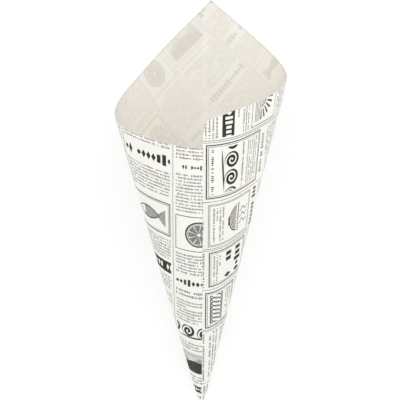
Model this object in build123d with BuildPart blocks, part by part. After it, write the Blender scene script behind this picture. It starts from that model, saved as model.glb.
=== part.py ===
from build123d import *

import math
import os

# Paper cone bag: one rectangular sheet, rolled round its corner into a cone and glued along a lap.
# It is modelled upright, tip down on the origin and seam towards -Y, and then laid on its back.
# Units are millimetres and degrees. A turn goes round the axis from the seam, by the left panel.

# Flat sheet: the corner between the two sides becomes the tip
left_side = 200.0
right_side = 222.0
paper = 0.12
lap_width = 5.3
shoulder_across = 20.0
shoulder_drop = 4.0
corner_cut_across = 2.8
corner_cut_along = 9.0

# Tip: the paper is wound tighter there in a nose with a blunt end, which leaves no room inside
tip_gap = 17.0
tip_plug = 1.0
nose_length = 8.0
nose_share = 0.3

# Section of the rolled cone, as shares of its mean radius and turns of their crests
oval_share = 0.058
oval_turn = 38.6
bow_share = 0.029
bow_turn = 96.9
fold_share = 0.037
fold_turn = 87.8

# Line that the bag rests on, how far its weight presses it flat, and where the lap climbs a layer
rest_turn = 186.0
rest_press = 0.25
climb_turn = 28.0

# Construction: how far cuts reach past the wall, and how finely curves are drawn
overrun = 5.0
cut_inner_share = 0.85
cut_outer_share = 1.7
section_arcs = 40
rim_steps = 16
table_step = 0.5
closing_passes = 8

full_turn = 360.0
square_angle = 90.0
lap_angle = math.degrees(math.atan(lap_width / left_side))


def cosine(angle):
    return math.cos(math.radians(angle))


def sine(angle):
    return math.sin(math.radians(angle))


def section_share(turn):
    """Radius of the section at a turn, as a share of the mean one."""
    oval = oval_share * cosine(2 * (turn - oval_turn))
    bow = bow_share * cosine(3 * (turn - bow_turn))
    fold = fold_share * cosine(4 * (turn - fold_turn))
    return 1 + oval + bow + fold


def ray(turn, flare):
    """Unit vector from the tip along the paper at a turn, for a mean radius per unit of height."""
    radius = flare * section_share(turn)
    return Vector(-radius * sine(turn), -radius * cosine(turn), 1).normalized()


def unrolled(flare):
    """Angle of the unrolled paper from the seam to each table turn, over one full turn."""
    angles = [0.0]
    for step in range(round(full_turn / table_step)):
        chord = ray((step + 1) * table_step, flare) - ray(step * table_step, flare)
        angles.append(angles[-1] + math.degrees(chord.length))
    return angles


# Mean radius per unit of height at which the square corner closes with its lap
flare = math.tan(math.asin(square_angle / full_turn))
for _ in range(closing_passes):
    flare *= (square_angle - lap_angle) / unrolled(flare)[-1]
angle_table = unrolled(flare)


def turn_at(angle):
    """Turn of the paper at an angle on the flat sheet, counted from its left side."""
    rounds, rest = divmod(angle - lap_angle, angle_table[-1])
    step = sum(1 for entry in angle_table[1:-1] if entry <= rest)
    part = (rest - angle_table[step]) / (angle_table[step + 1] - angle_table[step])
    return rounds * full_turn + (step + part) * table_step


def wrap(point):
    """Place on the rolled cone of a point of the flat sheet."""
    turn = turn_at(math.degrees(math.atan2(point.Y, point.X)))
    return ray(turn, flare) * point.length


lap_turn = -turn_at(0.0)
climb_start = full_turn - lap_turn - climb_turn


def climb(turn):
    """Layers that the right panel has climbed, from 0 to 1 as it comes over the lap."""
    share = min(max((turn - climb_start) / climb_turn, 0.0), 1.0)
    return share * share * (3 - 2 * share)


def wall_outline(height, reach, first_turn, layers):
    """One face of the wall at a height: a full turn of tangent arcs and the step of one edge.

    The turn has the size of the cone at the height called reach, so many layers of paper out.
    """
    marks = []
    for step in range(2 * section_arcs + 1):
        turn = first_turn + step * full_turn / (2 * section_arcs)
        radius = reach * flare * section_share(turn) + paper * (layers + climb(turn))
        marks.append((-radius * sine(turn), -radius * cosine(turn)))
    with BuildSketch(Plane.XY.offset(height)) as outline:
        with BuildLine():
            for start in range(0, 2 * section_arcs, 2):
                ThreePointArc(*marks[start : start + 3])
            Line(marks[-1], marks[0])
        make_face()
    return outline.sketch


def rim_strip(start, end):
    """Strip across the wall along one straight edge of the sheet, from inside to well outside."""
    points = [wrap(start + (end - start) * (step / rim_steps)) for step in range(rim_steps + 1)]
    sides = []
    for share in (cut_inner_share, cut_outer_share):
        with BuildLine() as side:
            Spline(*[(point.X * share, point.Y * share, point.Z) for point in points])
        sides.append(side.edge())
    return Face.make_surface_from_curves(*sides)


# Corners of the flat sheet along its two rims
seam_foot = Vector(left_side, lap_width)
peak = Vector(left_side, right_side)
shoulder = Vector(shoulder_across, right_side)
cut_start = Vector(corner_cut_across, right_side - shoulder_drop)
cut_end = cut_start - Vector(corner_cut_across, corner_cut_along)

tip_height = tip_gap / math.hypot(1, flare)
nose_height = tip_height - nose_length
plug_height = tip_height + tip_plug
top_height = wrap(peak).Z + overrun

# Table plane: along the resting line, with +Z up through the bag to its seam
along = ray(rest_turn, flare)
across = ray(rest_turn + table_step, flare) - ray(rest_turn - table_step, flare)
up = across.cross(along).normalized()
table = Plane(origin=up * (rest_press - paper), x_dir=along.cross(up), z_dir=up)

# Outside of the wall, with the step of the seam edge, pressed flat by the table
with BuildPart() as outside:
    nose = wall_outline(nose_height, tip_height * nose_share, 0.0, 1)
    tip = wall_outline(tip_height, tip_height, 0.0, 1)
    mouth = wall_outline(top_height, top_height, 0.0, 1)
    loft([nose, tip, mouth], ruled=True)
    split(bisect_by=table, keep=Keep.TOP)

# Inside of the wall, with the step of the edge under the lap, one layer above the table
with BuildPart() as inside:
    plug = wall_outline(plug_height, plug_height, -lap_turn, 0)
    mouth = wall_outline(top_height + overrun, top_height + overrun, -lap_turn, 0)
    loft([plug, mouth], ruled=True)
    split(bisect_by=table.offset(paper), keep=Keep.TOP)

# The rolled sheet, cut along its edges: left rim, right rim, and the sloped and trimmed seam corner
with BuildPart() as paper_cone:
    add(outside.part)
    add(inside.part, mode=Mode.SUBTRACT)
    left_rim = rim_strip(seam_foot, peak + Vector(0, overrun))
    right_rim = rim_strip(peak + Vector(overrun, 0), shoulder)
    shoulder_rim = rim_strip(shoulder, cut_start)
    corner_rim = rim_strip(cut_start, cut_end)
    for strip in (left_rim, right_rim, shoulder_rim, corner_rim):
        extrude(strip, amount=top_height, dir=(0, 0, 1), mode=Mode.SUBTRACT)

# The bag as it lies, with its origin under the middle of its box
lying = table.to_local_coords(paper_cone.part)
box = lying.bounding_box()
bag = lying.moved(Location((-box.center().X, -box.center().Y, -box.min.Z)))
bag.label = "paper_cone"

os.makedirs("parts", exist_ok=True)
export_step(bag, "parts/paper_cone.step")
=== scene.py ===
"""A rolled paper cone bag, printed like a page of small type, lying on a white table."""

import logging
import math
from abc import ABC, abstractmethod
from dataclasses import dataclass, field
from enum import Enum
from functools import reduce
from typing import ClassVar, Iterator

import bpy
from bpy.types import Material, Mesh, Node, NodeSocket, NodeTree, Object, World
from mathutils import Color, Matrix, Vector

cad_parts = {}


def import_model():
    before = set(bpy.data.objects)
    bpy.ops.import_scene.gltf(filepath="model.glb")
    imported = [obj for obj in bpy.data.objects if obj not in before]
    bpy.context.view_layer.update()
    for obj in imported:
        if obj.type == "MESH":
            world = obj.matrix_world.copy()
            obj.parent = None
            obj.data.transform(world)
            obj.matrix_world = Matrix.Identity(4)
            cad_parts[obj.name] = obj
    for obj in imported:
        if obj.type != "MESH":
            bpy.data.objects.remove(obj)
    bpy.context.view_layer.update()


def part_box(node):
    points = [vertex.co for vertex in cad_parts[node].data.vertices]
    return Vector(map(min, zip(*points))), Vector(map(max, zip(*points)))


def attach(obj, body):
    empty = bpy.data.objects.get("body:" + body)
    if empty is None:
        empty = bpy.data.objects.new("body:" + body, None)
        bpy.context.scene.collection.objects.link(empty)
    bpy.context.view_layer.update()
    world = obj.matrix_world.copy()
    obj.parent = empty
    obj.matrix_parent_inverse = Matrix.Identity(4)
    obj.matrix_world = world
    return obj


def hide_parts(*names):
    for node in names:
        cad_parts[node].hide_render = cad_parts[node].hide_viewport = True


log = logging.getLogger("paper_cone_bag")

MM = 0.001
FULL_TURN = 360.0
SQUARE_ANGLE = 90.0
TOP_LEVEL = 255

Colour = tuple[float, float, float, float]
WHITE: Colour = (1.0, 1.0, 1.0, 1.0)


def paint(red: int, green: int, blue: int) -> Colour:
    """Linear colour of a screen colour.

    Args:
        red: Red, from 0 to 255.
        green: Green, from 0 to 255.
        blue: Blue, from 0 to 255.

    Returns:
        The colour as a shader takes it, fully opaque.
    """
    screen = Color((red / TOP_LEVEL, green / TOP_LEVEL, blue / TOP_LEVEL))
    return (*screen.from_srgb_to_scene_linear(), 1.0)


def sine(angle: float) -> float:
    """Sine of an angle in degrees."""
    return math.sin(math.radians(angle))


def cosine(angle: float) -> float:
    """Cosine of an angle in degrees."""
    return math.cos(math.radians(angle))


@dataclass
class ConeForm:
    """The rolled cone: its flat sheet, its section and the line that it rests on.

    A turn goes round the axis from the seam, by the left panel. The flat sheet has the corner that
    becomes the tip at zero, its left side along X and its right side along Y.
    """

    left_side: float = 200.0 * MM
    right_side: float = 222.0 * MM
    paper: float = 0.12 * MM
    lap_width: float = 5.3 * MM
    shoulder_across: float = 20.0 * MM
    shoulder_drop: float = 4.0 * MM
    corner_cut_across: float = 2.8 * MM
    corner_cut_along: float = 9.0 * MM
    tip_gap: float = 17.0 * MM
    nose_length: float = 8.0 * MM
    nose_share: float = 0.3
    oval_share: float = 0.058
    oval_turn: float = 38.6
    bow_share: float = 0.029
    bow_turn: float = 96.9
    fold_share: float = 0.037
    fold_turn: float = 87.8
    rest_turn: float = 186.0
    rest_press: float = 0.25 * MM
    climb_turn: float = 28.0
    table_step: float = 0.5
    closing_passes: int = 8
    flare: float = field(init=False)
    angles: list[float] = field(init=False)
    lap_angle: float = field(init=False)
    lap_turn: float = field(init=False)
    axes: Matrix = field(init=False)

    def __post_init__(self) -> None:
        """Closes the cone on its lap and finds the table that it lies on."""
        self.lap_angle = math.degrees(math.atan(self.lap_width / self.left_side))
        self.flare = math.tan(math.asin(SQUARE_ANGLE / FULL_TURN))
        for _ in range(self.closing_passes):
            self.flare *= (SQUARE_ANGLE - self.lap_angle) / self.unrolled()[-1]
        self.angles = self.unrolled()
        self.lap_turn = -self.turn_at(0.0)
        along = self.ray(self.rest_turn)
        across = self.ray(self.rest_turn + self.table_step) - self.ray(self.rest_turn - self.table_step)
        up = across.cross(along).normalized()
        self.axes = Matrix((along.cross(up), along, up))

    def section_share(self, turn: float) -> float:
        """Form of the section.

        Args:
            turn: Degrees round the axis from the seam.

        Returns:
            The radius there, as a share of the mean one.
        """
        oval = self.oval_share * cosine(2 * (turn - self.oval_turn))
        bow = self.bow_share * cosine(3 * (turn - self.bow_turn))
        fold = self.fold_share * cosine(4 * (turn - self.fold_turn))
        return 1 + oval + bow + fold

    def ray(self, turn: float) -> Vector:
        """Unit vector from the tip along the paper at a turn, with the cone upright."""
        radius = self.flare * self.section_share(turn)
        return Vector((-radius * sine(turn), -radius * cosine(turn), 1)).normalized()

    def unrolled(self) -> list[float]:
        """Rolls the paper out flat.

        Returns:
            The angles on the flat sheet from the seam to each step of one full turn.
        """
        angles = [0.0]
        for step in range(round(FULL_TURN / self.table_step)):
            chord = self.ray((step + 1) * self.table_step) - self.ray(step * self.table_step)
            angles.append(angles[-1] + math.degrees(chord.length))
        return angles

    def turn_at(self, angle: float) -> float:
        """Turn of the paper at an angle on the flat sheet.

        Args:
            angle: Degrees from the left side of the sheet.

        Returns:
            The turn in degrees, below zero on the edge under the lap.
        """
        rounds, rest = divmod(angle - self.lap_angle, self.angles[-1])
        step = sum(1 for entry in self.angles[1:-1] if entry <= rest)
        part = (rest - self.angles[step]) / (self.angles[step + 1] - self.angles[step])
        return rounds * FULL_TURN + (step + part) * self.table_step

    def climb(self, turn: float) -> float:
        """Climb of the right panel as it comes over the lap.

        Args:
            turn: Degrees round the axis from the seam.

        Returns:
            The layers that it has climbed, from 0 to 1.
        """
        start = FULL_TURN - self.lap_turn - self.climb_turn
        share = min(max((turn - start) / self.climb_turn, 0.0), 1.0)
        return share * share * (3 - 2 * share)

    def corners(self) -> list[Vector]:
        """Corners of the flat sheet along its rims.

        Returns:
            The corners, from the left side to the right one.
        """
        cut = Vector((self.corner_cut_across, self.right_side - self.shoulder_drop))
        return [
            Vector((self.left_side, 0)),
            Vector((self.left_side, self.right_side)),
            Vector((self.shoulder_across, self.right_side)),
            cut,
            cut - Vector((self.corner_cut_across, self.corner_cut_along)),
        ]

    def rim_reach(self, angle: float) -> float:
        """Distance from the tip's corner to the edge of the flat sheet at an angle.

        Args:
            angle: Degrees from the left side of the sheet.

        Returns:
            The distance to the nearest of the edges that lie across that way, in metres.
        """
        way = Vector((cosine(angle), sine(angle)))
        corners = self.corners()
        reaches = []
        for start, end in zip(corners, corners[1:]):
            outward = Vector((end.y - start.y, start.x - end.x)).normalized()
            if outward.dot(way) > 0:
                reaches.append(outward.dot(start) / outward.dot(way))
        return min(reaches)

    def lay(self, upright: Vector) -> Vector:
        """A place on the upright cone, as it lies on the table with its tip at the origin."""
        lying = self.axes @ upright
        return lying - Vector((0, 0, self.rest_press - self.paper))


class Side(Enum):
    """The faces of the sheet, by the number of their material."""

    OUTSIDE = 0
    INSIDE = 1
    EDGE = 2


@dataclass
class PaperSheet:
    """The sheet of the bag as one mesh, rolled from its flat outline and then given its thickness."""

    form: ConeForm
    lap_steps: int = 8
    panel_steps: int = 116
    shoulder_steps: int = 12
    cut_steps: int = 8
    cap_rows: int = 4
    nose_rows: int = 8
    slant_rows: int = 92
    pole_share: float = 0.05
    lap_gap_share: float = 1.1
    smooth_angle: float = 40.0
    uv_name: str = "sheet"
    bake_name: str = "OFBake"
    bake_share: float = 0.95
    bake_edge_share: float = 1.02
    apex: Vector = field(init=False)

    def sheet_angles(self) -> list[float]:
        """Spaces the straight lines of the mesh, with one at each corner of the outline.

        Returns:
            Their angles on the flat sheet, from the left side.
        """
        turns = [math.degrees(math.atan2(corner.y, corner.x)) for corner in self.form.corners()]
        stops = (0.0, self.form.lap_angle, *turns[1:])
        panels = (self.panel_steps, self.panel_steps)
        counts = (self.lap_steps, *panels, self.shoulder_steps, self.cut_steps)
        angles = [0.0]
        for start, end, count in zip(stops, stops[1:], counts):
            angles += [start + (end - start) * (step + 1) / count for step in range(count)]
        return angles

    def place(self, angle: float, row: int) -> tuple[Vector, tuple[float, float]]:
        """Place of one vertex on the rolled sheet and on the flat one.

        Args:
            angle: Degrees from the left side of the sheet.
            row: Row of the mesh, from the middle of the blunt end to the rim.

        Returns:
            The place on the lying cone, with its tip at the origin, and the flat coordinates.
        """
        form = self.form
        turn = form.turn_at(angle)
        along = row - self.cap_rows - self.nose_rows
        if along >= 0:
            share = along / self.slant_rows
            reach = form.tip_gap + (form.rim_reach(angle) - form.tip_gap) * share
            upright = form.ray(turn) * reach
        else:
            share = max(row - self.cap_rows, 0) / self.nose_rows
            opened = max(min(row / self.cap_rows, 1.0), self.pole_share)
            size = (form.nose_share + (1 - form.nose_share) * share) * opened
            upright = form.ray(turn) * form.tip_gap
            upright.x *= size
            upright.y *= size
            upright.z -= form.nose_length * (1 - share)
            reach = upright.z * opened
        layer = form.paper * self.lap_gap_share * form.climb(turn)
        upright += Vector((-sine(turn), -cosine(turn), 0)) * layer
        lying = form.lay(upright)
        lying.z = max(lying.z, form.paper)
        return lying, (reach * cosine(angle), reach * sine(angle))

    def build(self) -> Object:
        """Rolls the sheet.

        Returns:
            The sheet with its thickness, its place in its mesh and the flat sheet as its UV map.
        """
        angles = self.sheet_angles()
        columns = len(angles) - 1
        rows = self.cap_rows + self.nose_rows + self.slant_rows
        bpy.ops.object.select_all(action="DESELECT")
        bpy.ops.mesh.primitive_grid_add(x_subdivisions=columns, y_subdivisions=rows, size=1.0)
        sheet = bpy.context.object
        sheet.name = "rolled_sheet"
        mesh = sheet.data
        mesh.name = sheet.name
        flat = {}
        for vertex in mesh.vertices:
            column = round((vertex.co.x + 0.5) * columns)
            row = round((vertex.co.y + 0.5) * rows)
            vertex.co, flat[vertex.index] = self.place(angles[column], row)
        self.centre_on_node(mesh)
        self.map_page(mesh, flat)
        self.turn_outwards(mesh)
        self.thicken(sheet)
        self.map_for_baking(mesh)
        bpy.ops.object.shade_smooth_by_angle(angle=math.radians(self.smooth_angle))
        return sheet

    def centre_on_node(self, mesh: Mesh) -> None:
        """Moves the sheet to the solid's box, which it shares, and notes where the tip's apex is.

        Args:
            mesh: The mesh of the sheet.
        """
        low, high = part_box("paper_cone")
        middle = [(low[axis] + high[axis]) / 2 for axis in range(2)]
        offset = Vector((0, 0, 0))
        for axis in range(2):
            values = [vertex.co[axis] for vertex in mesh.vertices]
            offset[axis] = middle[axis] - (min(values) + max(values)) / 2
        mesh.transform(Matrix.Translation(offset))
        self.apex = offset + self.form.lay(Vector((0, 0, 0)))

    def map_page(self, mesh: Mesh, flat: dict[int, tuple[float, float]]) -> None:
        """Lays the printed page on the sheet: type reads from the right rim, with the left rim on top.

        Args:
            mesh: The mesh of the sheet.
            flat: The flat coordinates of each vertex.
        """
        width = self.form.right_side
        layer = mesh.uv_layers.active
        layer.name = self.uv_name
        for loop in mesh.loops:
            x, y = flat[loop.vertex_index]
            layer.data[loop.index].uv = ((width - y) / width, x / width)

    def map_for_baking(self, mesh: Mesh) -> None:
        """Lays the outside and the inside side by side on one map, with the cut edge round the inside.

        Args:
            mesh: The mesh of the sheet.
        """
        page = mesh.uv_layers[self.uv_name]
        spread = mesh.uv_layers.new(name=self.bake_name)
        tall = self.form.left_side / self.form.right_side
        outer = set()
        for face in mesh.polygons:
            if face.material_index == Side.OUTSIDE.value:
                outer.update(face.vertices)
        for face in mesh.polygons:
            within = face.material_index != Side.OUTSIDE.value
            for loop in face.loop_indices:
                across, up = page.data[loop].uv
                place = Vector((across - 0.5, up / tall - 0.5)) * self.bake_share
                if face.material_index == Side.EDGE.value and mesh.loops[loop].vertex_index in outer:
                    place *= self.bake_edge_share
                spread.data[loop].uv = ((place.x + 0.5 + within) / 2, place.y + 0.5)

    def turn_outwards(self, mesh: Mesh) -> None:
        """Turns the faces so that their normals point away from the inside of the cone.

        Args:
            mesh: The mesh of the sheet.
        """
        axis = (self.form.axes @ Vector((0, 0, 1))).normalized()
        facing = 0.0
        for face in mesh.polygons:
            arm = face.center - self.apex
            facing += face.normal.dot(arm - axis * arm.dot(axis))
        if facing < 0:
            mesh.flip_normals()

    def thicken(self, sheet: Object) -> None:
        """Gives the sheet its thickness outwards, and its three faces materials of their own.

        Args:
            sheet: The rolled sheet.
        """
        wall = sheet.modifiers.new("wall", "SOLIDIFY")
        wall.thickness = self.form.paper
        wall.offset = 1.0
        wall.use_even_offset = True
        wall.material_offset = Side.INSIDE.value
        wall.material_offset_rim = Side.EDGE.value
        for side in Side:
            sheet.data.materials.append(bpy.data.materials.new(f"paper_{side.name.lower()}"))
        bpy.ops.object.modifier_apply(modifier=wall.name)


def blank_nodes(owner: Material | World) -> NodeTree:
    """Clears the nodes of a material or a world.

    Args:
        owner: The material or the world.

    Returns:
        Its empty graph.
    """
    owner.use_nodes = True
    owner.node_tree.nodes.clear()
    return owner.node_tree


def new_group(name: str, inputs: tuple[str, ...], outputs: tuple[str, ...]) -> NodeTree:
    """Starts a shader group whose inputs and outputs are plain numbers.

    Args:
        name: The name of the group.
        inputs: The names of its inputs.
        outputs: The names of its outputs.

    Returns:
        The graph of the group.
    """
    tree = bpy.data.node_groups.new(name, "ShaderNodeTree")
    for way, names in (("INPUT", inputs), ("OUTPUT", outputs)):
        for entry in names:
            tree.interface.new_socket(entry, in_out=way, socket_type="NodeSocketFloat")
    return tree


def add_node(
    tree: NodeTree, kind: str, inputs: dict[str | int, object] | None = None, **settings: object
) -> Node:
    """Adds a shader node.

    Args:
        tree: The graph that it goes into.
        kind: The type of the node.
        inputs: Signals, sockets and plain values, by the name or the number of the input they go to.
        settings: The node's own settings, by name.

    Returns:
        The node.
    """
    node = tree.nodes.new(kind)
    for name, setting in settings.items():
        setattr(node, name, setting)
    for entry, value in (inputs or {}).items():
        source = value.socket if isinstance(value, Signal) else value
        if isinstance(source, NodeSocket):
            tree.links.new(source, node.inputs[entry])
        else:
            node.inputs[entry].default_value = source
    return node


@dataclass(frozen=True)
class Signal:
    """A number that varies over a surface: one output of a shader graph, on which sums add nodes."""

    tree: NodeTree
    socket: NodeSocket

    def node(self, operation: str, *others: "Signal | float") -> "Signal":
        """Adds a math node on this signal.

        Args:
            operation: The operation of the node.
            others: Its other inputs, each a signal or a plain number.

        Returns:
            The output of the node.
        """
        inputs = dict(enumerate((self, *others)))
        added = add_node(self.tree, "ShaderNodeMath", inputs, operation=operation)
        return Signal(self.tree, added.outputs[0])

    def __add__(self, other: "Signal | float") -> "Signal":
        """The sum of two signals."""
        return self.node("ADD", other)

    def __sub__(self, other: "Signal | float") -> "Signal":
        """The difference of two signals."""
        return self.node("SUBTRACT", other)

    def __mul__(self, other: "Signal | float") -> "Signal":
        """The product of two signals."""
        return self.node("MULTIPLY", other)

    def __truediv__(self, other: "Signal | float") -> "Signal":
        """The quotient of two signals."""
        return self.node("DIVIDE", other)

    def below(self, limit: "Signal | float") -> "Signal":
        """1 where the signal is below a limit, and 0 elsewhere."""
        return self.node("LESS_THAN", limit)

    def above(self, limit: "Signal | float") -> "Signal":
        """1 where the signal is above a limit, and 0 elsewhere."""
        return self.node("GREATER_THAN", limit)

    def near(self, middle: "Signal | float", reach: "Signal | float") -> "Signal":
        """1 where the signal is within a reach of a middle value, and 0 elsewhere."""
        return self.node("COMPARE", middle, reach)

    def either(self, other: "Signal | float") -> "Signal":
        """The larger of two signals."""
        return self.node("MAXIMUM", other)

    def size(self) -> "Signal":
        """The signal without its sign."""
        return self.node("ABSOLUTE")

    def whole(self) -> "Signal":
        """The whole number below the signal."""
        return self.node("FLOOR")

    def rest(self) -> "Signal":
        """What is left of the signal above a whole number."""
        return self.node("FRACT")

    def absent(self) -> "Signal":
        """0 where the signal is 1, and 1 where it is 0."""
        return (self - 1.0).size()

    def stripes(self, pitch: float, share: float) -> "Signal":
        """1 on stripes of a pitch, over a share of it, and 0 between them."""
        return (self / pitch).rest().below(share)


def split(tree: NodeTree, socket: NodeSocket, kind: str) -> list[Signal]:
    """The parts of a vector or a colour as signals.

    Args:
        tree: The graph that the socket is in.
        socket: The vector or colour.
        kind: The node that takes it apart.

    Returns:
        Its three parts.
    """
    parts = add_node(tree, kind, {0: socket})
    return [Signal(tree, output) for output in parts.outputs]


@dataclass(frozen=True)
class Area:
    """A rectangle of the printed page, in millimetres from its lower left corner."""

    left: float
    bottom: float
    width: float
    height: float

    @property
    def top(self) -> float:
        """Height of the upper edge."""
        return self.bottom + self.height

    @property
    def middle(self) -> tuple[float, float]:
        """Place of the centre."""
        return self.left + self.width / 2, self.bottom + self.height / 2

    def inset(self, margin: float) -> "Area":
        """The same rectangle with a margin taken off all round."""
        return Area(
            self.left + margin, self.bottom + margin, self.width - 2 * margin, self.height - 2 * margin
        )


class Type(Enum):
    """Sizes of set type, by the pitch of their rows in millimetres."""

    TEXT = 2.25
    NOTE = 3.1
    LEAD = 4.6
    HEAD = 7.4
    TITLE = 10.5

    def rows(self, count: int, indent: float = 0.0) -> "Story":
        """So many rows of type, set in from both sides of the column."""
        return Story(count * self.value, self, indent=indent)

    def banner(self) -> "Story":
        """One row of type, as bare paper on a band of ink."""
        return Story(self.value + Story.band_margin, self, reverse=True)


class Frame(Enum):
    """Lines round a story: how far in each one starts and how wide it is, in millimetres."""

    SINGLE = ((0.0, 0.5),)
    DOUBLE = ((0.0, 0.75), (1.4, 0.3))
    FINE = ((0.0, 0.35), (0.9, 0.35))


@dataclass(frozen=True)
class Marks:
    """The plain ornaments that stand for type: bars, dots and lozenges, which are no letters.

    Each stands alone in a cell of its own. Places and sizes are shares of the row's pitch upwards,
    and of the cell's width across. A bar is bolder by a share of the cell for each millimetre of
    pitch.
    """

    cell_share: float = 0.4
    middle_share: float = 0.55
    reach_share: float = 0.26
    tall_share: float = 0.09
    tall_chance: float = 0.6
    bar_share: float = 0.22
    bold_share: float = 0.012
    dot_share: float = 0.15
    lozenge_share: float = 0.44
    bar_chance: float = 0.5
    dot_chance: float = 0.66
    space_chance: float = 0.14
    short_row_chance: float = 0.84
    short_row_pitch: float = 4.0
    row_seed: float = 0.5


class Press:
    """Prints one column as a shader group, from coordinates in millimetres on the flat sheet."""

    full_dot_share = 0.45

    def __init__(self, name: str) -> None:
        """Starts an empty column.

        Args:
            name: The name of its shader group.
        """
        self.tree = new_group(name, ("Across", "Up"), ("Ink",))
        start = add_node(self.tree, "NodeGroupInput")
        self.u = Signal(self.tree, start.outputs["Across"])
        self.v = Signal(self.tree, start.outputs["Up"])

    def chances(self, *seeds: Signal) -> list[Signal]:
        """Throws dice for each set of seeds.

        Args:
            seeds: Up to three signals.

        Returns:
            Three random numbers from 0 to 1.
        """
        join = add_node(self.tree, "ShaderNodeCombineXYZ", dict(enumerate(seeds))).outputs[0]
        dice = add_node(self.tree, "ShaderNodeTexWhiteNoise", {"Vector": join}, noise_dimensions="3D")
        return split(self.tree, dice.outputs["Color"], "ShaderNodeSeparateColor")

    def block(self, area: Area) -> Signal:
        """1 inside an area of the page, and 0 outside it."""
        middle = area.middle
        return self.u.near(middle[0], area.width / 2) * self.v.near(middle[1], area.height / 2)

    def ring(self, area: Area, width: float) -> Signal:
        """1 on a line of a width just inside the edge of an area, and 0 elsewhere."""
        return self.block(area) - self.block(area.inset(width))

    def local(self, area: Area, rise: float = 0.0) -> tuple[Signal, Signal]:
        """Coordinates in millimetres from the middle of an area, or from so far above it."""
        middle = area.middle
        return self.u - middle[0], self.v - (middle[1] + rise)

    def polar(self, x: Signal, y: Signal) -> tuple[Signal, Signal]:
        """Distance from a centre, and the turn round it, from -0.5 to 0.5."""
        radius = (x * x + y * y).node("SQRT")
        return radius, y.node("ARCTAN2", x) / math.tau

    def halftone(self, tone: Signal, pitch: float) -> Signal:
        """A slanted grid of dots whose size follows a tone.

        Args:
            tone: The tone, from 0 to 1.
            pitch: How far apart the dots are.

        Returns:
            1 on a dot, and 0 elsewhere.
        """
        a = ((self.u + self.v) / pitch).rest() - 0.5
        b = ((self.u - self.v) / pitch).rest() - 0.5
        return (a * a + b * b).below(tone * self.full_dot_share)

    def set_type(self, rows: list[tuple[Area, Type]], marks: Marks) -> Signal:
        """Sets all the type of the column.

        Args:
            rows: The areas that hold type, with the size of each.
            marks: The marks to set it in.

        Returns:
            1 on a mark, and 0 elsewhere.
        """
        pitch: Signal | float = 0.0
        top: Signal | float = 0.0
        left: Signal | float = 0.0
        width: Signal | float = 0.0
        for area, size in rows:
            inside = self.block(area)
            pitch = inside.node("MULTIPLY_ADD", size.value, pitch)
            top = inside.node("MULTIPLY_ADD", area.top, top)
            left = inside.node("MULTIPLY_ADD", area.left, left)
            width = inside.node("MULTIPLY_ADD", area.width, width)
        down = (top - self.v) / pitch
        row = down.whole()
        aloft = (down.rest() - marks.middle_share).size()
        along = (self.u - left) / (pitch * marks.cell_share)
        across = (along.rest() - 0.5).size()
        space, kind, tall = self.chances(along.whole(), row + top, left)
        ending, length, _ = self.chances(row, top, left + marks.row_seed)
        reach = tall.above(marks.tall_chance) * marks.tall_share + marks.reach_share
        bar = across.below(pitch * marks.bold_share + marks.bar_share) * aloft.below(reach)
        mark = bar * kind.below(marks.bar_chance)
        aside = across * marks.cell_share
        dot = (aside * aside + aloft * aloft).below(marks.dot_share**2)
        middling = (marks.bar_chance + marks.dot_chance) / 2
        mark = mark.either(dot * kind.near(middling, marks.dot_chance - middling))
        lozenge = (across / marks.lozenge_share + aloft / reach).below(1.0)
        mark = mark.either(lozenge * kind.above(marks.dot_chance)) * space.above(marks.space_chance)
        cut = ending.above(marks.short_row_chance) * pitch.below(marks.short_row_pitch)
        cut = cut * (self.u - left).above(width * length)
        return mark * cut.absent() * pitch.above(0.0)

    def layers(self, page: "Page", number: int) -> Iterator[Signal]:
        """The ink of a column's rules, frames, pictures and type, each made when it is asked for.

        Args:
            page: The page that the column is on.
            number: Its place there, from the left.

        Yields:
            Each layer, from 0 to 1.
        """
        rows = []
        for rule in page.rules(number):
            yield self.block(rule)
        for story, area in page.placed(number):
            if story.frame:
                for start, width in story.frame.value:
                    yield self.ring(area.inset(start), width)
            if isinstance(story.filling, Type):
                rows.append((area, story.filling))
            elif isinstance(story.filling, Motif):
                margin = story.margin if story.frame else 0.0
                yield story.filling.draw(self, area.inset(margin))
        yield self.set_type(rows, Marks())

    def print_column(self, page: "Page", number: int) -> NodeTree:
        """Prints a column.

        Args:
            page: The page that the column is on.
            number: Its place there, from the left.

        Returns:
            The shader group, with the ink from 0 to 1 as its output.
        """
        ink = reduce(Signal.either, self.layers(page, number))
        for area in page.reversed_areas(number):
            ink = (ink - self.block(area)).size()
        add_node(self.tree, "NodeGroupOutput", {"Ink": ink})
        return self.tree


class Motif(ABC):
    """A common picture or ornament that fills an area of the page."""

    @abstractmethod
    def ink(self, press: Press, area: Area) -> Signal:
        """Ink of the motif, in its area and past it.

        Args:
            press: The press that prints the column.
            area: Where the motif goes.

        Returns:
            1 on ink, and 0 elsewhere.
        """

    def draw(self, press: Press, area: Area) -> Signal:
        """Ink of the motif, cut off at the edges of its area."""
        return self.ink(press, area) * press.block(area)


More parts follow.
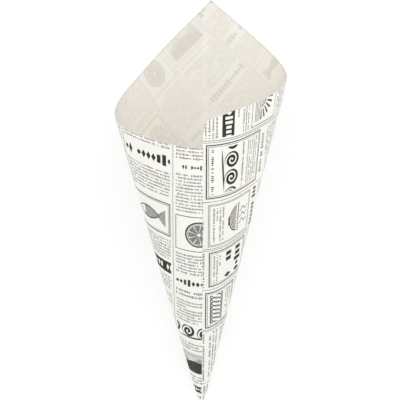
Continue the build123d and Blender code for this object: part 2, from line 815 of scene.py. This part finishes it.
@dataclass(frozen=True)
class Sunrise(Motif):
    """A sun with rays over a line of water."""

    rise_share: float = -0.4
    disc_share: float = 0.5
    ray_count: int = 22
    ray_share: float = 0.4
    ray_start_share: float = 1.3
    ray_end_share: float = 2.5
    line: float = 0.35
    disc_pitch: float = 1.0
    wave_pitch: float = 1.5
    wave_share: float = 0.35

    def ink(self, press: Press, area: Area) -> Signal:
        """Ink of the sun, its rays and the water.

        Args:
            press: The press that prints the column.
            area: Where it goes.

        Returns:
            1 on ink, and 0 elsewhere.
        """
        x, y = press.local(area, area.height / 2 * self.rise_share)
        radius, turn = press.polar(x, y)
        disc = area.height / 2 * self.disc_share
        sun = radius.below(disc) * y.stripes(self.disc_pitch, self.wave_share)
        rays = (turn * self.ray_count).rest().below(self.ray_share)
        rays = rays * radius.above(disc * self.ray_start_share)
        rays = rays * radius.below(disc * self.ray_end_share)
        sky = sun.either(radius.near(disc, self.line)).either(rays) * y.above(0.0)
        water = y.stripes(self.wave_pitch, self.wave_share) * y.below(0.0)
        return sky.either(water)


@dataclass(frozen=True)
class Fish(Motif):
    """A hatched fish, side on."""

    length_share: float = 0.62
    depth_share: float = 0.4
    outline_share: float = 0.1
    hatch_pitch: float = 1.5
    hatch_share: float = 0.5
    tail_start_share: float = 0.78
    tail_end_share: float = 1.5
    tail_spread: float = 0.85
    eye_place_share: float = -0.62
    eye: float = 0.7

    def ink(self, press: Press, area: Area) -> Signal:
        """Ink of the fish, with its head bare but for the eye.

        Args:
            press: The press that prints the column.
            area: Where it goes.

        Returns:
            1 on ink, and 0 elsewhere.
        """
        x, y = press.local(area)
        half = area.width / 2 * self.length_share
        along = x / half
        edge = y.size() / (half * self.depth_share) + along * along
        hatch = (x + y).stripes(self.hatch_pitch, self.hatch_share)
        hatch = hatch.either((x - y).stripes(self.hatch_pitch, self.hatch_share / 2))
        body = edge.below(1.0) * hatch * along.above(self.eye_place_share / 2)
        outline = edge.near(1.0, self.outline_share)
        tail = y.size().below((x - half * self.tail_start_share) * self.tail_spread)
        tail = tail * along.below(self.tail_end_share) * hatch
        radius, _ = press.polar(x - half * self.eye_place_share, y)
        return outline.either(body).either(tail).either(radius.below(self.eye))


@dataclass(frozen=True)
class CitrusWheel(Motif):
    """A round slice of fruit."""

    size_share: float = 0.88
    rind: float = 0.55
    pith_share: float = 0.86
    flesh_share: float = 0.8
    core_share: float = 0.12
    segments: int = 9
    gap_share: float = 0.12
    dot_pitch: float = 0.9
    tone: float = 0.55

    def ink(self, press: Press, area: Area) -> Signal:
        """Ink of the rind and the segments.

        Args:
            press: The press that prints the column.
            area: Where it goes.

        Returns:
            1 on ink, and 0 elsewhere.
        """
        x, y = press.local(area)
        radius, turn = press.polar(x, y)
        reach = min(area.width, area.height) / 2 * self.size_share
        pith = radius.near(reach * self.pith_share, self.rind / 3)
        rings = radius.near(reach, self.rind).either(pith)
        wedge = (turn * self.segments).rest().above(self.gap_share)
        flesh = wedge * radius.above(reach * self.core_share) * radius.below(reach * self.flesh_share)
        return rings.either(press.halftone(flesh * self.tone, self.dot_pitch) * flesh)


@dataclass(frozen=True)
class SteamingBowl(Motif):
    """An engraved bowl with three curls of steam."""

    rise_share: float = 0.1
    size_share: float = 0.96
    band_share: float = 0.22
    band: float = 0.55
    foot_share: float = 0.3
    hatch_pitch: float = 1.3
    hatch_share: float = 0.55
    steam_places: tuple[float, ...] = (-0.45, 0.0, 0.45)
    steam: float = 0.4
    sway: float = 1.1
    sway_pitch: float = 5.5

    def ink(self, press: Press, area: Area) -> Signal:
        """Ink of the bowl, its foot and the steam.

        Args:
            press: The press that prints the column.
            area: Where it goes.

        Returns:
            1 on ink, and 0 elsewhere.
        """
        x, y = press.local(area, area.height / 2 * self.rise_share)
        radius, _ = press.polar(x, y)
        reach = min(area.width, area.height) / 2 * self.size_share
        band = y.near(-reach * self.band_share, self.band)
        hatch = radius.stripes(self.hatch_pitch, self.hatch_share)
        hatch = hatch.either(radius.above(reach - self.band))
        bowl = radius.below(reach) * y.below(0.0) * band.absent() * hatch
        foot = x.near(0.0, reach * self.foot_share) * y.near(-reach, self.band)
        curl = (y * (math.tau / self.sway_pitch)).node("SINE") * self.sway
        ink = bowl.either(foot)
        above = y.near(reach / 2, reach / 2 - 2 * self.band)
        for share in self.steam_places:
            ink = ink.either((x - curl).near(reach * share, self.steam) * above)
        return ink


@dataclass(frozen=True)
class Hills(Motif):
    """A picture of hills under a paling sky, in halftone dots."""

    dot_pitch: float = 0.85
    sky_tone: float = 0.1
    sky_fall: float = 0.22
    far_tone: float = 0.42
    near_tone: float = 0.9
    far_share: float = 0.36
    near_share: float = 0.0
    far_wave: float = 17.0
    near_wave: float = 29.0
    swell_share: float = 0.2

    def ink(self, press: Press, area: Area) -> Signal:
        """Ink of the sky and the hills.

        Args:
            press: The press that prints the column.
            area: Where it goes.

        Returns:
            1 on ink, and 0 elsewhere.
        """
        x, y = press.local(area)
        half = area.height / 2
        swell = half * self.swell_share
        far = (x * (math.tau / self.far_wave)).node("SINE") * swell + half * self.far_share
        near = (x * (math.tau / self.near_wave)).node("COSINE") * swell + half * self.near_share
        tone = y * (self.sky_fall / half) + self.sky_tone
        tone = tone.either(y.below(far) * self.far_tone).either(y.below(near) * self.near_tone)
        return press.halftone(tone, self.dot_pitch)


@dataclass(frozen=True)
class Scrolls(Motif):
    """A running row of bold scrolls over a tapered swash."""

    pitch: float = 12.0
    coil: float = 3.0
    line_share: float = 0.64
    reach_share: float = 0.47
    rise_share: float = 0.2
    swash_share: float = -0.82
    swash: float = 0.6

    def ink(self, press: Press, area: Area) -> Signal:
        """Ink of the scrolls and the swash.

        Args:
            press: The press that prints the column.
            area: Where it goes.

        Returns:
            1 on ink, and 0 elsewhere.
        """
        half = area.height / 2
        x, y = press.local(area, half * self.rise_share)
        radius, turn = press.polar(((x / self.pitch).rest() - 0.5) * self.pitch, y)
        scroll = (radius / self.coil - turn).rest().below(self.line_share)
        scroll = scroll * radius.below(min(self.pitch, area.height) * self.reach_share)
        along = x / (area.width / 2)
        taper = (along * along - 1.0) * -self.swash
        return scroll.either((y - along).near(half * self.swash_share, taper))


@dataclass(frozen=True)
class PenOvals(Motif):
    """A run of slanted pen ovals that lap over each other, as in a writing exercise."""

    pitch: float = 3.2
    reach_share: float = 1.15
    lean_share: float = 0.4
    height_share: float = 0.86
    line_share: float = 0.16
    neighbours: tuple[int, ...] = (-1, 0, 1)

    def ink(self, press: Press, area: Area) -> Signal:
        """Ink of the ovals.

        Args:
            press: The press that prints the column.
            area: Where it goes.

        Returns:
            1 on ink, and 0 elsewhere.
        """
        x, y = press.local(area)
        step = ((x - y * self.lean_share) / self.pitch).rest() - 0.5
        climb = y / (area.height / 2 * self.height_share)
        rings = []
        for shift in self.neighbours:
            side = (step - shift) / self.reach_share
            rings.append((side * side + climb * climb).near(1.0, self.line_share))
        return reduce(Signal.either, rings)


@dataclass(frozen=True)
class Beads(Motif):
    """A row of lozenges between two fine lines."""

    pitch: float = 2.6
    size_share: float = 0.34
    line: float = 0.12

    def ink(self, press: Press, area: Area) -> Signal:
        """Ink of the lozenges and the lines.

        Args:
            press: The press that prints the column.
            area: Where it goes.

        Returns:
            1 on ink, and 0 elsewhere.
        """
        x, y = press.local(area)
        step = ((x / self.pitch).rest() - 0.5).size() / self.size_share
        bead = (step + y.size() / (area.height * self.size_share)).below(1.0)
        return bead.either(y.size().near(area.height / 2 - self.line, self.line))


@dataclass(frozen=True)
class Story:
    """A stretch of a column, in millimetres: set type, a picture, or a box of other stories."""

    height: float
    filling: "Type | Motif | tuple[Story, ...]"
    frame: Frame | None = None
    indent: float = 0.0
    reverse: bool = False
    gap: ClassVar[float] = 2.2
    margin: ClassVar[float] = 2.8
    band_margin: ClassVar[float] = 1.2

    @classmethod
    def boxed(cls, frame: Frame, *stories: "Story") -> "Story":
        """A framed box, as tall as its stories and the gaps between them."""
        height = sum(story.height + cls.gap for story in stories) - cls.gap
        return cls(height + 2 * cls.margin, stories, frame)


@dataclass(frozen=True)
class Column:
    """One column of the page: its width in millimetres and its stories from the top."""

    width: float
    stories: tuple[Story, ...]

    @classmethod
    def of(cls, width: float, *stories: Story) -> "Column":
        """A column of a width, with stories one below another."""
        return cls(width, stories)


# Rows of each size of type, by short names for the layout
text, note, lead, head, title = (size.rows for size in Type)


@dataclass(frozen=True)
class Page:
    """The layout of the printed page, in millimetres: columns that run off the sheet all round."""

    start: float = -18.0
    top: float = 205.2
    foot: float = -8.0
    gutter: float = 4.0
    rule: float = 0.35
    rule_apart: float = 1.2
    columns: tuple[Column, ...] = (
        Column.of(
            34.0,
            title(1),
            text(8),
            head(1),
            text(12),
            Story(20.0, Fish()),
            text(9),
            lead(1, indent=4.0),
            text(7),
            Story(28.0, Sunrise(), Frame.SINGLE),
            text(5),
            Type.HEAD.banner(),
            text(7),
        ),
        Column.of(
            36.0,
            Story(22.0, Hills(near_tone=0.6), Frame.SINGLE),
            text(12),
            head(1),
            text(27),
            Story(2.6, Beads()),
            text(8),
            lead(1, indent=4.0),
            Story.boxed(
                Frame.DOUBLE,
                text(5),
                note(1),
                Story(16.0, Scrolls()),
                note(1),
            ),
            text(3),
        ),
        Column.of(
            30.0,
            Story(26.0, CitrusWheel(), Frame.SINGLE),
            text(15),
            lead(1, indent=3.0),
            text(18),
            Story(16.0, Fish()),
            text(9),
            head(1),
            Story.boxed(Frame.FINE, Story(21.0, SteamingBowl()), text(4)),
            note(3),
        ),
        Column.of(
            26.0,
            text(14),
            Story(26.0, Sunrise(), Frame.DOUBLE),
            note(2),
            text(16),
            head(1),
            text(11),
            Story(2.6, Beads()),
            text(6),
            Story.boxed(Frame.DOUBLE, title(2), text(3)),
            text(4),
        ),
        Column.of(
            28.0,
            text(8),
            Story(24.0, SteamingBowl(), Frame.SINGLE),
            text(10),
            head(1),
            text(14),
            Story(2.6, Beads()),
            text(12),
            lead(1, indent=3.0),
            text(6),
            note(1),
            Story.boxed(Frame.DOUBLE, text(3), Story(12.5, PenOvals())),
            text(3),
        ),
        Column.of(
            40.0,
            text(4),
            title(1),
            text(9),
            Story(24.0, Fish(), Frame.DOUBLE),
            text(7),
            Type.HEAD.banner(),
            text(10),
            lead(1, indent=5.0),
            text(13),
            Story(2.6, Beads()),
            text(9),
            note(3),
            text(1),
        ),
        Column.of(
            32.0,
            text(6),
            lead(1, indent=4.0),
            text(12),
            Story(25.0, CitrusWheel(), Frame.SINGLE),
            text(7),
            head(1),
            note(2),
            text(8),
            Story(11.0, Scrolls()),
            text(3),
            Story(16.0, Hills()),
            text(3),
            Type.LEAD.banner(),
            note(4),
        ),
    )

    def column_area(self, number: int) -> Area:
        """The area of one column, counted from the left."""
        left = self.start + sum(column.width + self.gutter for column in self.columns[:number])
        return Area(left, self.foot, self.columns[number].width, self.top - self.foot)

    def stacked(self, stories: tuple[Story, ...], area: Area) -> Iterator[tuple[Story, Area]]:
        """Stories with their areas, stacked from the top of an area and into their boxes.

        Args:
            stories: The stories, from the top.
            area: The column or the inside of the box that holds them.

        Yields:
            Each story with its own area.
        """
        top = area.top
        for story in stories:
            left = area.left + story.indent
            place = Area(left, top - story.height, area.width - 2 * story.indent, story.height)
            yield story, place
            if isinstance(story.filling, tuple):
                yield from self.stacked(story.filling, place.inset(story.margin))
            top = place.bottom - story.gap

    def placed(self, number: int) -> Iterator[tuple[Story, Area]]:
        """Every story of a column with its area."""
        yield from self.stacked(self.columns[number].stories, self.column_area(number))

    def reversed_areas(self, number: int) -> list[Area]:
        """Areas of a column whose type is bare paper on ink."""
        return [area for story, area in self.placed(number) if story.reverse]

    def rules(self, number: int) -> list[Area]:
        """Upright rules in the gutter before a column: by turns a single one and a double one.

        Args:
            number: The column, counted from the left.

        Returns:
            The area of each rule.
        """
        column = self.column_area(number)
        apart = (-self.rule_apart, self.rule_apart) if number % 2 else (0.0,)
        areas = []
        for shift in apart:
            left = column.left - self.gutter / 2 + shift / 2 - self.rule / 2
            areas.append(Area(left, column.bottom, self.rule, column.height))
        return areas


class PageInk:
    """Joins the columns of a page on the flat sheet, as one shader group."""

    bleed = 0.22
    bleed_pitch = 0.8
    # Painted shade: the width in millimetres over which the inside darkens towards the rims
    painted_rim_shade_width = 1.8

    def __init__(self, uv_name: str, page_width: float, page_height: float) -> None:
        """Finds each spot of the sheet on the page, moved a little by how the ink soaks in and blurs.

        Args:
            uv_name: The UV map that holds the flat sheet.
            page_width: Millimetres that one unit of that map stands for.
            page_height: Millimetres from the seam's edge to the left rim.
        """
        self.tree = new_group("page_ink", ("Blur",), ("Ink", "Soil"))
        sheet = add_node(self.tree, "ShaderNodeUVMap", uv_map=uv_name).outputs["UV"]
        grain = {"Vector": sheet, "Scale": page_width / self.bleed_pitch}
        soak = add_node(self.tree, "ShaderNodeTexNoise", grain, noise_dimensions="2D")
        haze = add_node(self.tree, "ShaderNodeTexWhiteNoise", {"Vector": sheet}, noise_dimensions="2D")
        blur = Signal(self.tree, add_node(self.tree, "NodeGroupInput").outputs["Blur"])
        places = split(self.tree, sheet, "ShaderNodeSeparateXYZ")
        spread = split(self.tree, soak.outputs["Color"], "ShaderNodeSeparateColor")
        strays = split(self.tree, haze.outputs["Color"], "ShaderNodeSeparateColor")
        self.spot = []
        for axis in range(2):
            shift = (spread[axis] - 0.5) * self.bleed + (strays[axis] - 0.5) * blur
            self.spot.append(places[axis] * page_width + shift)
        # Painted shade along both rims: 1 at the edge, fading to 0 inwards
        right_rim = places[0] * (-page_width / self.painted_rim_shade_width) + 1.0
        left_rim = (places[1] * page_width - page_height) / self.painted_rim_shade_width + 1.0
        self.soil = right_rim.either(left_rim).either(0.0)

    def columns(self, page: Page) -> Iterator[Signal]:
        """The ink of each column, made when it is asked for.

        Args:
            page: The page that the columns are on.

        Yields:
            The ink of one column, from 0 to 1.
        """
        for number in range(len(page.columns)):
            group = Press(f"column_{number}_ink").print_column(page, number)
            column = add_node(self.tree, "ShaderNodeGroup", dict(enumerate(self.spot)), node_tree=group)
            yield Signal(self.tree, column.outputs["Ink"])

    def join(self, page: Page) -> NodeTree:
        """Prints a page.

        Args:
            page: Its columns.

        Returns:
            The shader group, with a blur in millimetres as its input. Its outputs are the ink, and the
            painted shade along the rims.
        """
        ink = reduce(Signal.either, self.columns(page))
        add_node(self.tree, "NodeGroupOutput", {"Ink": ink, "Soil": self.soil})
        return self.tree


@dataclass(frozen=True)
class Grain:
    """Soft noise over the bag: its blotches in a metre, and its octaves of finer noise."""

    scale: float
    detail: float

    def on(self, tree: NodeTree) -> Signal:
        """Spreads the noise over a material.

        Args:
            tree: The material's nodes.

        Returns:
            The noise, from 0 to 1.
        """
        place = add_node(tree, "ShaderNodeTexCoord").outputs["Object"]
        inputs = {"Vector": place, "Scale": self.scale, "Detail": self.detail}
        return Signal(tree, add_node(tree, "ShaderNodeTexNoise", inputs).outputs["Fac"])


@dataclass(frozen=True)
class PaperFinish:
    """Thin uncoated paper: printed outside, bare inside with the print faintly showing through."""

    outside: Colour = paint(253, 251, 244)
    outside_shade: Colour = paint(248, 246, 237)
    ink: Colour = paint(31, 27, 16)
    worn_share: float = 0.05
    inside_cool: Colour = paint(225, 227, 219)
    inside_warm: Colour = paint(231, 221, 214)
    show_cool: Colour = paint(172, 172, 158)
    show_warm: Colour = paint(184, 164, 156)
    show_share: float = 0.48
    show_blur: float = 1.8
    # Painted shade along the rims of the inside: its grey and how strongly it shows
    soil: Colour = paint(168, 164, 152)
    painted_rim_shade_share: float = 0.28
    edge: Colour = paint(250, 248, 242)
    roughness: float = 0.68
    gloss: float = 0.2
    through_share: float = 0.4
    through_depth: float = 0.3 * MM
    through_tint: tuple[float, float, float] = (1.0, 0.95, 0.88)
    clouds: Grain = Grain(60.0, 2.0)
    blotches: Grain = Grain(22.0, 1.0)
    wear: Grain = Grain(240.0, 3.0)
    edge_wear: Grain = Grain(240.0, 2.0)
    fibres: Grain = Grain(1500.0, 4.0)
    fibre_depth: float = 0.03 * MM
    fibre_strength: float = 0.25
    mix_inputs: ClassVar[tuple[int, ...]] = (0, 6, 7)
    mix_output: ClassVar[int] = 2

    def mixed(
        self,
        tree: NodeTree,
        share: Signal,
        first: NodeSocket | Colour,
        second: NodeSocket | Colour,
    ) -> NodeSocket:
        """One colour over another.

        Args:
            tree: The material's nodes.
            share: How much of the second colour shows.
            first: The colour underneath, or a socket that gives it.
            second: The colour on top, or a socket that gives it.

        Returns:
            The mixed colour.
        """
        inputs = dict(zip(self.mix_inputs, (share, first, second)))
        return add_node(tree, "ShaderNodeMix", inputs, data_type="RGBA").outputs[self.mix_output]

    def page(self, tree: NodeTree, ink: NodeTree, blur: float) -> tuple[Signal, Signal]:
        """The ink of the page, spread by a blur in millimetres, and the painted shade along its rims.
        """
        group = add_node(tree, "ShaderNodeGroup", {"Blur": blur}, node_tree=ink)
        return Signal(tree, group.outputs["Ink"]), Signal(tree, group.outputs["Soil"])

    def printed_outside(self, tree: NodeTree, ink: NodeTree) -> NodeSocket:
        """Worn ink on clouded paper.

        Args:
            tree: The material's nodes.
            ink: The shader group that prints the page.

        Returns:
            The colour of the outside.
        """
        paper = self.mixed(tree, self.clouds.on(tree), self.outside, self.outside_shade)
        worn = self.wear.on(tree) * -self.worn_share + 1.0
        printed, _ = self.page(tree, ink, 0.0)
        return self.mixed(tree, printed * worn, paper, self.ink)

    def bare_inside(self, tree: NodeTree, ink: NodeTree) -> NodeSocket:
        """Bare paper with the print showing through, and painted shade along the rims.

        Args:
            tree: The material's nodes.
            ink: The shader group that prints the page.

        Returns:
            The colour of the inside.
        """
        blotch = self.blotches.on(tree)
        paper = self.mixed(tree, blotch, self.inside_cool, self.inside_warm)
        tint = self.mixed(tree, blotch, self.show_cool, self.show_warm)
        printed, soil = self.page(tree, ink, self.show_blur)
        colour = self.mixed(tree, printed * self.show_share, paper, tint)
        # Painted shade along the rims, laid over the bare paper
        return self.mixed(tree, soil * self.painted_rim_shade_share, colour, self.soil)

    def cut_edge(self, tree: NodeTree) -> NodeSocket:
        """Colour of the pale cut edge."""
        return self.mixed(tree, self.edge_wear.on(tree), self.edge, self.outside_shade)

    def set_surface(self, tree: NodeTree, colour: NodeSocket) -> None:
        """Makes thin paper that lets light through, with its fibres in the surface.

        Args:
            tree: The material's nodes.
            colour: The colour of the paper.
        """
        relief = {
            "Strength": self.fibre_strength,
            "Distance": self.fibre_depth,
            "Height": self.fibres.on(tree),
        }
        paper = {
            "Base Color": colour,
            "Roughness": self.roughness,
            "Specular IOR Level": self.gloss,
            "Subsurface Weight": self.through_share,
            "Subsurface Scale": self.through_depth,
            "Subsurface Radius": self.through_tint,
            "Normal": add_node(tree, "ShaderNodeBump", relief).outputs["Normal"],
        }
        shader = add_node(tree, "ShaderNodeBsdfPrincipled", paper)
        add_node(tree, "ShaderNodeOutputMaterial", {"Surface": shader.outputs[0]})

    def dress(self, materials: "bpy.types.IDMaterials", ink: NodeTree) -> None:
        """Finishes the outside, the inside and the cut edge of the sheet.

        Args:
            materials: The sheet's three materials, in that order.
            ink: The shader group that prints the page.
        """
        outside, inside, edge = (blank_nodes(materials[side.value]) for side in Side)
        self.set_surface(outside, self.printed_outside(outside, ink))
        self.set_surface(inside, self.bare_inside(inside, ink))
        self.set_surface(edge, self.cut_edge(edge))


@dataclass(frozen=True)
class Studio:
    """White table, soft light and the camera, which looks down on the bag from its seam's side."""

    photo_side: float = 400.0
    focal_pixels: float = 773.5
    tip_pixel: tuple[float, float] = (201.725, 410.87)
    pixel_at_tip: float = 0.7107 * MM
    seam_turn: float = 2.2
    camera_rise: float = 10.4049
    camera_roll: float = -0.4584
    sensor: float = 36.0
    floor_side: float = 8.0
    floor_colour: Colour = paint(246, 246, 245)
    floor_white_share: float = 0.8
    sky_strength: float = 0.8
    white_rays: tuple[str, ...] = ("Camera", "Glossy", "Transmission")
    lamp_side: float = 1.8
    lamp_height: float = 1.5
    lamp_power: float = 17.5
    lamp_shift: tuple[float, float] = (0.05, 0.85)

    def set_camera(self, form: ConeForm, apex: Vector) -> None:
        """Places the camera.

        Args:
            form: The cone, for the turn of its seam and the way that it lies.
            apex: Where its sides would meet below the tip.
        """
        front = Vector((-sine(self.seam_turn), -cosine(self.seam_turn), 0))
        right = Vector((cosine(self.seam_turn), -sine(self.seam_turn), 0))
        axis = Vector((0, 0, 1))
        back = axis * sine(self.camera_rise) + front * cosine(self.camera_rise)
        up = axis * cosine(self.camera_rise) - front * sine(self.camera_rise)
        turned_right = right * cosine(self.camera_roll) + up * sine(self.camera_roll)
        turned_up = up * cosine(self.camera_roll) - right * sine(self.camera_roll)
        half = self.photo_side / 2
        tip = turned_right * (self.tip_pixel[0] - half) + turned_up * (half - self.tip_pixel[1])
        tip = (tip - back * self.focal_pixels) * self.pixel_at_tip
        basis = Matrix((form.axes @ turned_right, form.axes @ turned_up, form.axes @ back)).transposed()
        place = apex - form.axes @ tip
        bpy.ops.object.camera_add()
        camera = bpy.context.object
        camera.name = "camera"
        camera.matrix_world = Matrix.Translation(place) @ basis.to_4x4()
        camera.data.sensor_width = self.sensor
        camera.data.lens = self.sensor * self.focal_pixels / self.photo_side
        bpy.context.scene.camera = camera

    def set_floor(self) -> None:
        """Lays a plain pale table under the bag."""
        bpy.ops.mesh.primitive_plane_add(size=self.floor_side)
        floor = bpy.context.object
        floor.name = "floor"
        finish = bpy.data.materials.new("floor")
        tree = blank_nodes(finish)
        path = add_node(tree, "ShaderNodeLightPath")
        seen = Signal(tree, path.outputs["Is Camera Ray"]) * self.floor_white_share
        matt = add_node(tree, "ShaderNodeBsdfDiffuse", {"Color": self.floor_colour}).outputs[0]
        white = add_node(tree, "ShaderNodeEmission", {"Color": WHITE}).outputs[0]
        mix = add_node(tree, "ShaderNodeMixShader", dict(enumerate((seen, matt, white))))
        add_node(tree, "ShaderNodeOutputMaterial", {"Surface": mix.outputs[0]})
        floor.data.materials.append(finish)

    def set_light(self) -> None:
        """Lights the bag with a pale sky and one broad lamp above it."""
        world = bpy.data.worlds.new("sky")
        bpy.context.scene.world = world
        tree = blank_nodes(world)
        path = add_node(tree, "ShaderNodeLightPath")
        rays = [Signal(tree, path.outputs[f"Is {kind} Ray"]) for kind in self.white_rays]
        inputs = [reduce(Signal.either, rays)]
        for strength in (self.sky_strength, 1.0):
            plain = {"Color": WHITE, "Strength": strength}
            inputs.append(add_node(tree, "ShaderNodeBackground", plain).outputs[0])
        mix = add_node(tree, "ShaderNodeMixShader", dict(enumerate(inputs)))
        add_node(tree, "ShaderNodeOutputWorld", {"Surface": mix.outputs[0]})
        place = Vector((*self.lamp_shift, self.lamp_height))
        bpy.ops.object.light_add(type="AREA", location=place)
        lamp = bpy.context.object
        lamp.name = "lamp"
        lamp.data.size = self.lamp_side
        lamp.data.energy = self.lamp_power
        lamp.rotation_euler = place.to_track_quat("Z", "Y").to_euler()
        bpy.context.scene.view_settings.view_transform = "Standard"


def main() -> None:
    """Builds the bag, its finish and the studio."""
    logging.basicConfig(level=logging.INFO, format="%(name)s: %(message)s")
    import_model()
    form = ConeForm()
    paper = PaperSheet(form)
    sheet = paper.build()
    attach(sheet, "root")
    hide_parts("paper_cone")
    log.info("%s has %d faces", sheet.name, len(sheet.data.polygons))
    page = Page()
    ink = PageInk(paper.uv_name, form.right_side / MM, form.left_side / MM).join(page)
    log.info("the page is printed in %d columns", len(page.columns))
    PaperFinish().dress(sheet.data.materials, ink)
    studio = Studio()
    studio.set_floor()
    studio.set_light()
    studio.set_camera(form, paper.apex)


if __name__ == "__main__":
    main()
